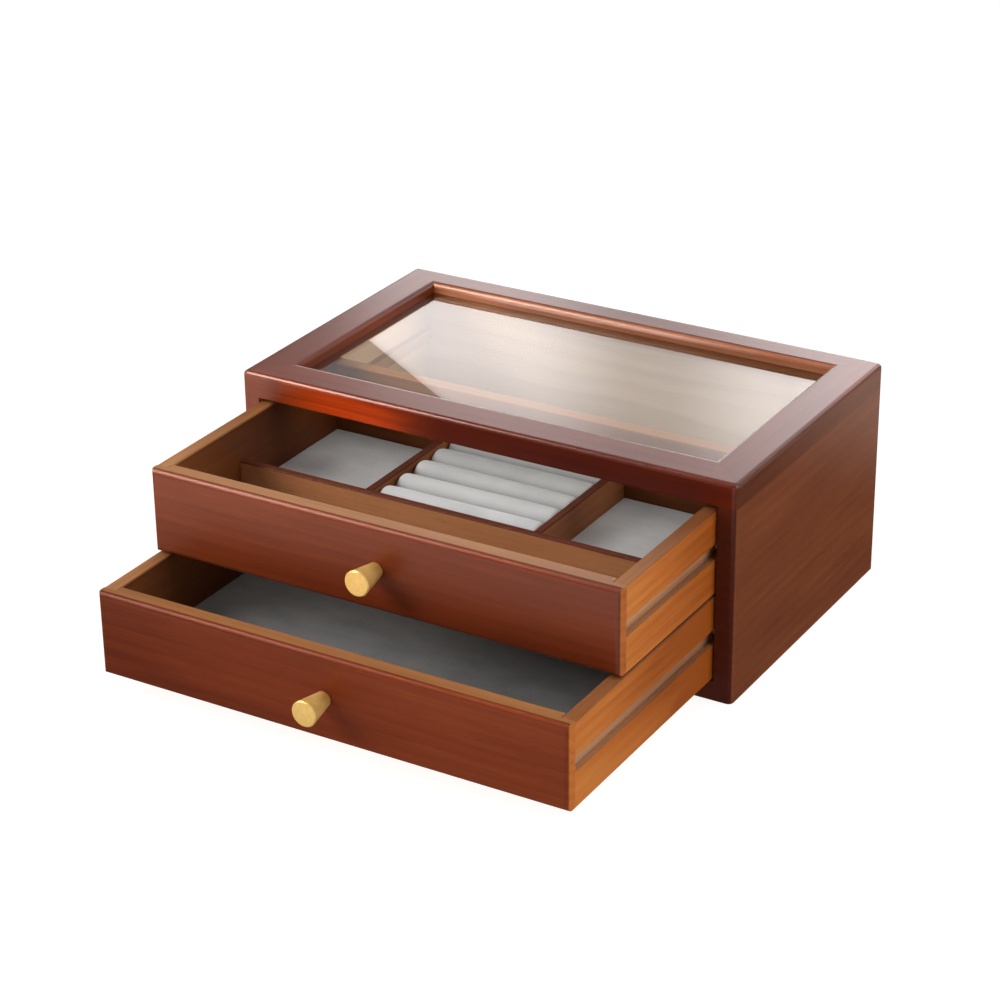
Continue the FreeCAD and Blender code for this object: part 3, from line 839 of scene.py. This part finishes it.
def layFelt(name, node, body, look, finish):
    low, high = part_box(node)
    width, length = high.x - low.x, high.y - low.y
    columns, rows = (max(4, round(size / (look["cell"] * mm))) for size in (width, length))
    shape = bmesh.new()
    bmesh.ops.create_grid(shape, x_segments=columns, y_segments=rows, size=0.5)
    for vert in shape.verts:
        x = low.x + (vert.co.x + 0.5) * width
        y = low.y + (vert.co.y + 0.5) * length
        sample = Vector((x, y, low.z)) / (look["swellSize"] * mm)
        rise = noise.fractal(sample, 1.0, 2.0, 3) * look["swell"] * mm
        vert.co = (x, y, low.z + look["thick"] * mm + rise)
    mesh = bpy.data.meshes.new(name)
    shape.to_mesh(mesh)
    shape.free()
    mesh.materials.append(finish)
    piece = meshObject(name, mesh)
    thickness = piece.modifiers.new("thickness", "SOLIDIFY")
    thickness.thickness = look["thick"] * mm
    thickness.offset = -1
    edge = piece.modifiers.new("edge", "BEVEL")
    edge.width = look["round"] * mm
    edge.segments = 2
    edge.limit_method = "ANGLE"
    edge.angle_limit = math.radians(look["sharpest"])
    settled(piece)
    piece.data.shade_smooth()
    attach(piece, body)
    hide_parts(node)


feltFinish = pileFinish("greyFelt", feltLook, pileLook)
trayShadeFinish = pileFinish("trayFeltShade", trayShadeLook, pileLook)
velvetFinish = pileFinish("greyVelvet", velvetLook, pileLook)
for felt in ("front_felt", "left_felt", "right_felt"):
    layFelt(felt + "_sheet", felt, "upper_drawer", feltLook, feltFinish)
# the lower tray's felt is darker: painted shade
layFelt("lower_felt_sheet", "lower_felt", "lower_drawer", trayShadeLook, trayShadeFinish)
useFinish("ring_card", velvetFinish)
print("felts laid")


# Ring rolls: foam rolls covered with velvet, side by side, drawn by a Geometry Nodes tree.

rollLook = {
    "count": 5,
    "foot": 1.2,          # rounding along a roll's foot; its top is half round
    "squareEnds": 16.0,   # larger is squarer
    "endSize": 0.8,       # a roll's end face, as a share of its section
    "along": 56,          # points along a roll
    "around": 30,         # points round it
    "slack": 0.30,        # the cover starts this far inside its finished size
    "pressure": 3.0,      # of the foam inside
    "stiffness": 6,       # of the cover
    "mass": 0.1,
    "quality": 5,         # steps to a frame
    "cap": 0.28,          # the most that the foam pushes the cover out
    "frames": 20,
    "lump": 0.08,         # unevenness of the foam
    "lumpSize": 13,
    "fill": 0.85,
}

rollInputs = {
    "Count": "Int",
    "Pitch": "Float",
    "Length": "Float",
    "Depth": "Float",
    "Height": "Float",
    "Foot": "Float",
    "Square Ends": "Float",
    "End Size": "Float",
    "Points Along": "Int",
    "Points Around": "Int",
    "First Place": "Vector",
    "Cover": "Material",
}
cornerPoints = 12         # points in each rounded corner of a roll's section
crownShare = 0.499        # the crown's radius: a hair under half the roll's depth


def makeRollTree():
    tree = bpy.data.node_groups.new("ringRolls", "GeometryNodeTree")
    for name, kind in rollInputs.items():
        tree.interface.new_socket(name, in_out="INPUT", socket_type="NodeSocket" + kind)
    tree.interface.new_socket("Geometry", in_out="OUTPUT", socket_type="NodeSocketGeometry")
    entry = put(tree, "NodeGroupInput").outputs
    # the section: a rectangle with a half-round crown and an eased foot, upside down because the
    # sweep turns it over
    section = put(tree, "GeometryNodeCurvePrimitiveQuadrilateral",
                  {"Width": entry["Depth"], "Height": entry["Height"]}, mode="RECTANGLE").outputs[0]
    corners = put(tree, "GeometryNodeInputPosition").outputs[0]
    level = axisOf(tree, corners, "Y")
    crown = put(tree, "FunctionNodeCompare", {0: level, 1: 0.0}, data_type="FLOAT", operation="LESS_THAN")
    shoulder = reckon(tree, "MULTIPLY", entry["Depth"], crownShare)
    radius = put(tree, "GeometryNodeSwitch", {0: crown.outputs[0], 1: entry["Foot"], 2: shoulder},
                 input_type="FLOAT").outputs[0]
    inputs = {"Curve": section, "Radius": radius, "Count": cornerPoints, "Limit Radius": True}
    rounded = put(tree, "GeometryNodeFilletCurve", inputs, mode="POLY").outputs[0]
    even = put(tree, "GeometryNodeResampleCurve", {"Curve": rounded, "Count": entry["Points Around"]},
               mode="COUNT").outputs[0]
    # the line along a roll, its section drawn in at both ends
    half = reckon(tree, "MULTIPLY", entry["Length"], 0.5)
    start = put(tree, "ShaderNodeCombineXYZ", {0: reckon(tree, "MULTIPLY", half, -1.0)}).outputs[0]
    end = put(tree, "ShaderNodeCombineXYZ", {0: half}).outputs[0]
    line = put(tree, "GeometryNodeCurvePrimitiveLine", {"Start": start, "End": end}).outputs[0]
    spaced = put(tree, "GeometryNodeResampleCurve", {"Curve": line, "Count": entry["Points Along"]},
                 mode="COUNT").outputs[0]
    share = put(tree, "GeometryNodeSplineParameter").outputs["Factor"]
    fromCentre = reckon(tree, "ABSOLUTE", reckon(tree, "SUBTRACT", reckon(tree, "MULTIPLY", share, 2.0), 1.0))
    left = reckon(tree, "SUBTRACT", 1.0, reckon(tree, "POWER", fromCentre, entry["Square Ends"]))
    drawnIn = reckon(tree, "POWER", left, reckon(tree, "DIVIDE", 1.0, entry["Square Ends"]))
    drawnIn = reckon(tree, "MAXIMUM", drawnIn, entry["End Size"])
    inputs = {"Curve": spaced, "Profile Curve": even, "Scale": drawnIn, "Fill Caps": True}
    roll = put(tree, "GeometryNodeCurveToMesh", inputs).outputs[0]
    # copies side by side
    step = put(tree, "ShaderNodeCombineXYZ", {1: entry["Pitch"]}).outputs[0]
    inputs = {"Count": entry["Count"], "Start Location": entry["First Place"], "Offset": step}
    places = put(tree, "GeometryNodeMeshLine", inputs, mode="OFFSET").outputs[0]
    copies = put(tree, "GeometryNodeInstanceOnPoints", {"Points": places, "Instance": roll}).outputs[0]
    real = put(tree, "GeometryNodeRealizeInstances", {"Geometry": copies}).outputs[0]
    covered = put(tree, "GeometryNodeSetMaterial", {"Geometry": real, "Material": entry["Cover"]}).outputs[0]
    put(tree, "NodeGroupOutput", {"Geometry": covered})
    return tree


def drawRolls(look):
    # one mesh of all the rolls, each a little inside its place
    tree = makeRollTree()
    (low, high), (nextLow, _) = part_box("ring_roll_1"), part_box("ring_roll_2")
    slack = look["slack"] * mm
    sizes = {
        "Count": look["count"],
        "Pitch": nextLow.y - low.y,
        "Length": high.x - low.x - 2 * slack,
        "Depth": high.y - low.y - 2 * slack,
        "Height": high.z - low.z - 2 * slack,
        "Foot": look["foot"] * mm,
        "Square Ends": look["squareEnds"],
        "End Size": look["endSize"],
        "Points Along": look["along"],
        "Points Around": look["around"],
        "First Place": tuple((low + high) / 2),
        "Cover": velvetFinish,
    }
    rolls = meshObject("rolls", bpy.data.meshes.new("rolls"))
    drawing = rolls.modifiers.new("rolls", "NODES")
    drawing.node_group = tree
    for socket in tree.interface.items_tree:
        if socket.in_out == "INPUT":
            drawing[socket.identifier] = sizes[socket.name]
    settled(rolls)
    shape = bmesh.new()
    shape.from_mesh(rolls.data)
    bmesh.ops.recalc_face_normals(shape, faces=shape.faces)
    shape.to_mesh(rolls.data)
    shape.free()
    return rolls


def stuffRolls(rolls, look):
    # the foam pushes the cover out from inside, as far as the cap
    before = [vert.co.copy() for vert in rolls.data.vertices]
    cover = rolls.modifiers.new("cover", "CLOTH")
    cloth = cover.settings
    cloth.quality = look["quality"]
    cloth.mass = look["mass"]
    cloth.tension_stiffness = cloth.compression_stiffness = look["stiffness"]
    cloth.use_pressure = True
    cloth.uniform_pressure_force = look["pressure"]
    cloth.effector_weights.gravity = 0
    cover.point_cache.frame_end = look["frames"]
    for frameNumber in range(1, look["frames"] + 1):
        bpy.context.scene.frame_set(frameNumber)
    settled(rolls)
    bpy.context.scene.frame_set(1)
    for vert, place in zip(rolls.data.vertices, before):
        push = vert.co - place
        if push.length > look["cap"] * mm:
            push *= look["cap"] * mm / push.length
        vert.co = place + push


def smoothRolls(rolls, look):
    for vert in rolls.data.vertices:
        sample = vert.co / (look["lumpSize"] * mm)
        vert.co += vert.normal * noise.fractal(sample, 1.0, 2.0, 2) * look["lump"] * mm
    smooth = rolls.modifiers.new("smooth", "SUBSURF")
    smooth.levels = smooth.render_levels = 1
    settled(rolls)
    rolls.data.shade_smooth()


def partRolls(rolls, look):
    # each roll becomes a piece of its own
    whole = bmesh.new()
    whole.from_mesh(rolls.data)
    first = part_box("ring_roll_1")[0].y
    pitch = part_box("ring_roll_2")[0].y - first
    for number in range(look["count"]):
        low = first + number * pitch
        single = whole.copy()
        others = [vert for vert in single.verts if not low < vert.co.y < low + pitch]
        bmesh.ops.delete(single, geom=others, context="VERTS")
        node = f"ring_roll_{number + 1}"
        mesh = bpy.data.meshes.new(node + "_velvet")
        single.to_mesh(mesh)
        single.free()
        mesh.materials.append(velvetFinish)
        mesh.shade_smooth()
        roll = meshObject(node + "_velvet", mesh)
        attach(roll, "upper_drawer")
        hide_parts(node)
    whole.free()
    bpy.data.objects.remove(rolls)


def coverRolls(look):
    rolls = drawRolls(look)
    stuffRolls(rolls, look)
    smoothRolls(rolls, look)
    partRolls(rolls, look)


coverRolls(rollLook)
print("rolls made")


# Floor, room, and the cards that the lacquer and the glass mirror. All sizes from here on are in metres.

floorLook = {
    "size": 12.0,
    "cells": 8,
    "tones": ((0.3, tone(144, 144, 144)), (0.7, tone(150, 150, 150))),
    "mottle": 9.0,
    "rough": 0.9,
    "glow": 0.86,
    "drop": 0.0002,            # how far it lies under the box
}
room = {
    "light": 0.20,
    "mirrored": 0.26,          # what gloss sees of the room besides
    "horizon": (-0.02, 0.2),   # over which that grows, as the height of the line of sight
}


def makeFloor(look):
    finish, tree, shader, place = newFinish("paleFloor")
    inputs = {"Vector": place, "Scale": look["mottle"], "Detail": 3.0}
    mottle = put(tree, "ShaderNodeTexNoise", inputs).outputs[0]
    tree.links.new(ramp(tree, mottle, look["tones"]), shader.inputs["Base Color"])
    shader.inputs["Roughness"].default_value = look["rough"]
    shader.inputs["Emission Color"].default_value = (1, 1, 1, 1)
    shader.inputs["Emission Strength"].default_value = look["glow"]
    shape = bmesh.new()
    bmesh.ops.create_grid(shape, x_segments=look["cells"], y_segments=look["cells"], size=look["size"] / 2)
    mesh = bpy.data.meshes.new("floor")
    shape.to_mesh(mesh)
    shape.free()
    mesh.materials.append(finish)
    floor = meshObject("floor", mesh)
    floor.location.z = cadBox[0].z - look["drop"]
    floor.visible_glossy = False          # gloss sees the table card instead


def makeWorld(look):
    # a dim room for the light, and plain white behind the box
    world = bpy.data.worlds.new("studio")
    bpy.context.scene.world = world
    world.use_nodes = True
    tree = world.node_tree
    tree.nodes.clear()
    path = put(tree, "ShaderNodeLightPath")
    direction = put(tree, "ShaderNodeTexCoord").outputs["Generated"]
    height = axisOf(tree, direction, "Z")
    rising = between(tree, height, *look["horizon"])
    mirrored = reckon(tree, "MULTIPLY", path.outputs["Is Glossy Ray"], rising)
    strength = reckon(tree, "ADD", reckon(tree, "MULTIPLY", mirrored, look["mirrored"]), look["light"])
    dim, white = (put(tree, "ShaderNodeBackground", {"Color": (1, 1, 1, 1), "Strength": level}).outputs[0]
                  for level in (strength, 1.0))
    seen = put(tree, "ShaderNodeMixShader", {0: path.outputs["Is Camera Ray"], 1: dim, 2: white}).outputs[0]
    put(tree, "ShaderNodeOutputWorld", {"Surface": seen})


# Lamps: "watts" is the power, "spread" is in degrees (180 if not given), and "mirrored" ones show in gloss.
lamps = {
    "left_lamp": {"place": (-1.0, -1.0, 0.9), "aim": (0, -0.1, 0.06), "size": (0.8, 0.8), "watts": 16.5},
    "top_lamp": {"place": (0, 0, 1.6), "aim": (0, 0, 0.1), "size": (1.0, 1.0), "watts": 5, "mirrored": True},
    "right_lamp": {
        "place": (1.5, 0.1, 0.3), "aim": (0.1, 0, 0.06), "size": (0.8, 0.4), "watts": 4.6,
        "mirrored": True,
    },
    "right_high_lamp": {
        "place": (1.2, 0.1, 1.1), "aim": (0, 0, 0.06), "size": (0.8, 0.8), "watts": 8,
        "mirrored": True,
    },
    "inside_lamp": {              # under the glass, by the left rail
        "place": (-0.075, 0.02, 0.1135), "aim": (-0.14, 0.03, 0.080), "size": (0.05, 0.004),
        "watts": 0.016, "tint": (1, 0.92, 0.82),
    },
    "tray_lamp": {                # between the drawers
        "place": (-0.07, -0.16, 0.058), "aim": (-0.07, -0.16, 0.02), "size": (0.16, 0.12),
        "watts": 0.012, "tint": (1, 0.97, 0.95),
    },
    "rail_lamp": {                # under the front rail
        "place": (0, -0.082, 0.1095), "aim": (0, -0.082, 0), "size": (0.24, 0.02),
        "watts": 0.011, "tint": (1, 0.97, 0.94),
    },
    "warm_lamp": {                # over the upper drawer, up at the front rail
        "place": (-0.077, -0.126, 0.098), "aim": (-0.077, -0.09, 0.118), "size": (0.06, 0.006),
        "watts": 0.007, "tint": (1, 0.42, 0.06), "spread": 70,
    },
}


def softLamp(name, look):
    light = bpy.data.lights.new(name, "AREA")
    light.shape = "RECTANGLE"
    light.size, light.size_y = look["size"]
    light.energy = look["watts"]
    light.color = look.get("tint", (1, 1, 1))
    light.spread = math.radians(look.get("spread", 180))
    lamp = bpy.data.objects.new(name, light)
    lamp.location = look["place"]
    lamp.rotation_euler = (Vector(look["aim"]) - lamp.location).to_track_quat("-Z", "Y").to_euler()
    lamp.visible_camera = False
    lamp.visible_transmission = False
    lamp.visible_glossy = look.get("mirrored", False)      # the cards stand in for the others
    bpy.context.scene.collection.objects.link(lamp)


def glowFinish(name, look, fade):
    # a card's light: its strength times the mask built by fade(tree, place, look)
    finish = bpy.data.materials.new(name)
    finish.use_nodes = True
    tree = finish.node_tree
    tree.nodes.clear()
    place = put(tree, "ShaderNodeTexCoord").outputs["Object"]
    power = reckon(tree, "MULTIPLY", fade(tree, place, look), look["strength"])
    glow = put(tree, "ShaderNodeEmission", {"Color": look["colour"], "Strength": power}).outputs[0]
    put(tree, "ShaderNodeOutputMaterial", {"Surface": glow})
    finish.cycles.emission_sampling = "NONE"      # gloss alone finds the cards
    return finish


def mirrorCard(name, corners, finish):
    # a card that only gloss sees
    mesh = bpy.data.meshes.new(name)
    mesh.from_pydata(corners, [], [tuple(range(len(corners)))])
    mesh.materials.append(finish)
    card = meshObject(name, mesh)
    card.visible_camera = False
    card.visible_diffuse = False
    card.visible_shadow = False
    card.visible_transmission = False
    card.visible_volume_scatter = False


# The cards. A step of light is four numbers: from where to where, and the level before and after.

windowLook = {                 # a bright window behind the box, with a dim bar down it
    "colour": tone(255, 250, 250),
    "strength": 4.8,
    "distance": 1.5,
    "corners": ((-2.2, 0.2), (0.7, 0.2), (0.7, 1.862), (-2.2, 0.276)),      # across and up
    "sky": (0.84, 0.97, 0.97, 0.56),             # upwards
    "top": (0.96, 1.12, 1.0, 0.2),
    "left": (-1.19, -1.11, 0.0, 1.0),            # across
    "leftOfBar": (-0.90, -0.74, 0.90, 0.38),
    "rightOfBar": (-0.71, -0.55, 0.0, 0.50),
    "rightEnd": (-0.55, -0.50, 0.0, 0.2),
    "lean": -0.85,                               # of the slanting left edge
    "leanEdge": (-1.931, -1.861, 0.0, 1.0),
    "slope": (0.547, 1.491),                     # of the upper edge, and its height at 0 across
    "slopeEdge": (-0.025, 0.008, 1.0, 0.0),
}
tableLook = {                  # the pale table: bright in front, dim at the sides
    "colour": tone(255, 244, 232),
    "strength": 1.0,
    "reach": 4,
    "drop": 0.0001,
    "front": (-0.40, -0.295, 2.4, 0.1),
    "frontEnd": (-0.26, -0.18, 1.0, 0.0),
    "back": (0.16, 0.34, 0.0, 1.0),
    "backShare": 0.6,
    "least": 0.02,
}
edgeLook = {                   # a pale wall on the left that the rails' rounded edges mirror
    "colour": tone(255, 240, 226),
    "strength": 26.0,
    "side": -0.56,
    "corners": ((-0.85, 0.45), (-0.20, 0.62), (-0.20, 1.05), (-0.55, 1.10)),      # along and up
}


def windowGlow(tree, place, look):
    across, up = axisOf(tree, place, "X"), axisOf(tree, place, "Z")
    level = between(tree, up, *look["sky"])
    level = reckon(tree, "MULTIPLY", level, between(tree, up, *look["top"]))
    level = reckon(tree, "MULTIPLY", level, between(tree, across, *look["left"]))
    leaning = reckon(tree, "ADD", across, reckon(tree, "MULTIPLY", up, look["lean"]))
    level = reckon(tree, "MULTIPLY", level, between(tree, leaning, *look["leanEdge"]))
    slope, height = look["slope"]
    edge = reckon(tree, "ADD", reckon(tree, "MULTIPLY", across, slope), height)
    above = reckon(tree, "SUBTRACT", up, edge)
    level = reckon(tree, "MULTIPLY", level, between(tree, above, *look["slopeEdge"]))
    leftOfBar, rightOfBar, rightEnd = (between(tree, across, *look[part])
                                       for part in ("leftOfBar", "rightOfBar", "rightEnd"))
    bright = reckon(tree, "ADD", reckon(tree, "ADD", leftOfBar, rightOfBar), rightEnd)
    return reckon(tree, "MULTIPLY", level, bright)


def tableGlow(tree, place, look):
    along = axisOf(tree, place, "Y")
    front = between(tree, along, *look["front"])
    front = reckon(tree, "MULTIPLY", front, between(tree, along, *look["frontEnd"]))
    back = reckon(tree, "MULTIPLY", between(tree, along, *look["back"]), look["backShare"])
    return reckon(tree, "ADD", front, reckon(tree, "ADD", back, look["least"]))


def evenGlow(tree, place, look):
    return 1.0      # the same all over


def makeCards(window, table, edge):
    corners = [(x, window["distance"], z) for x, z in window["corners"]]
    mirrorCard("window_card", corners, glowFinish("windowLight", window, windowGlow))
    reach, level = table["reach"], cadBox[0].z - table["drop"]
    corners = [(x * reach, y * reach, level) for x, y in ((-1, -1), (1, -1), (1, 1), (-1, 1))]
    mirrorCard("table_card", corners, glowFinish("tableLight", table, tableGlow))
    corners = [(edge["side"], y, z) for y, z in edge["corners"]]
    mirrorCard("edge_card", corners, glowFinish("edgeLight", edge, evenGlow))


makeFloor(floorLook)
makeWorld(room)
makeCards(windowLook, tableLook, edgeLook)
for lampName, lampLook in lamps.items():
    softLamp(lampName, lampLook)
print("stage lit")
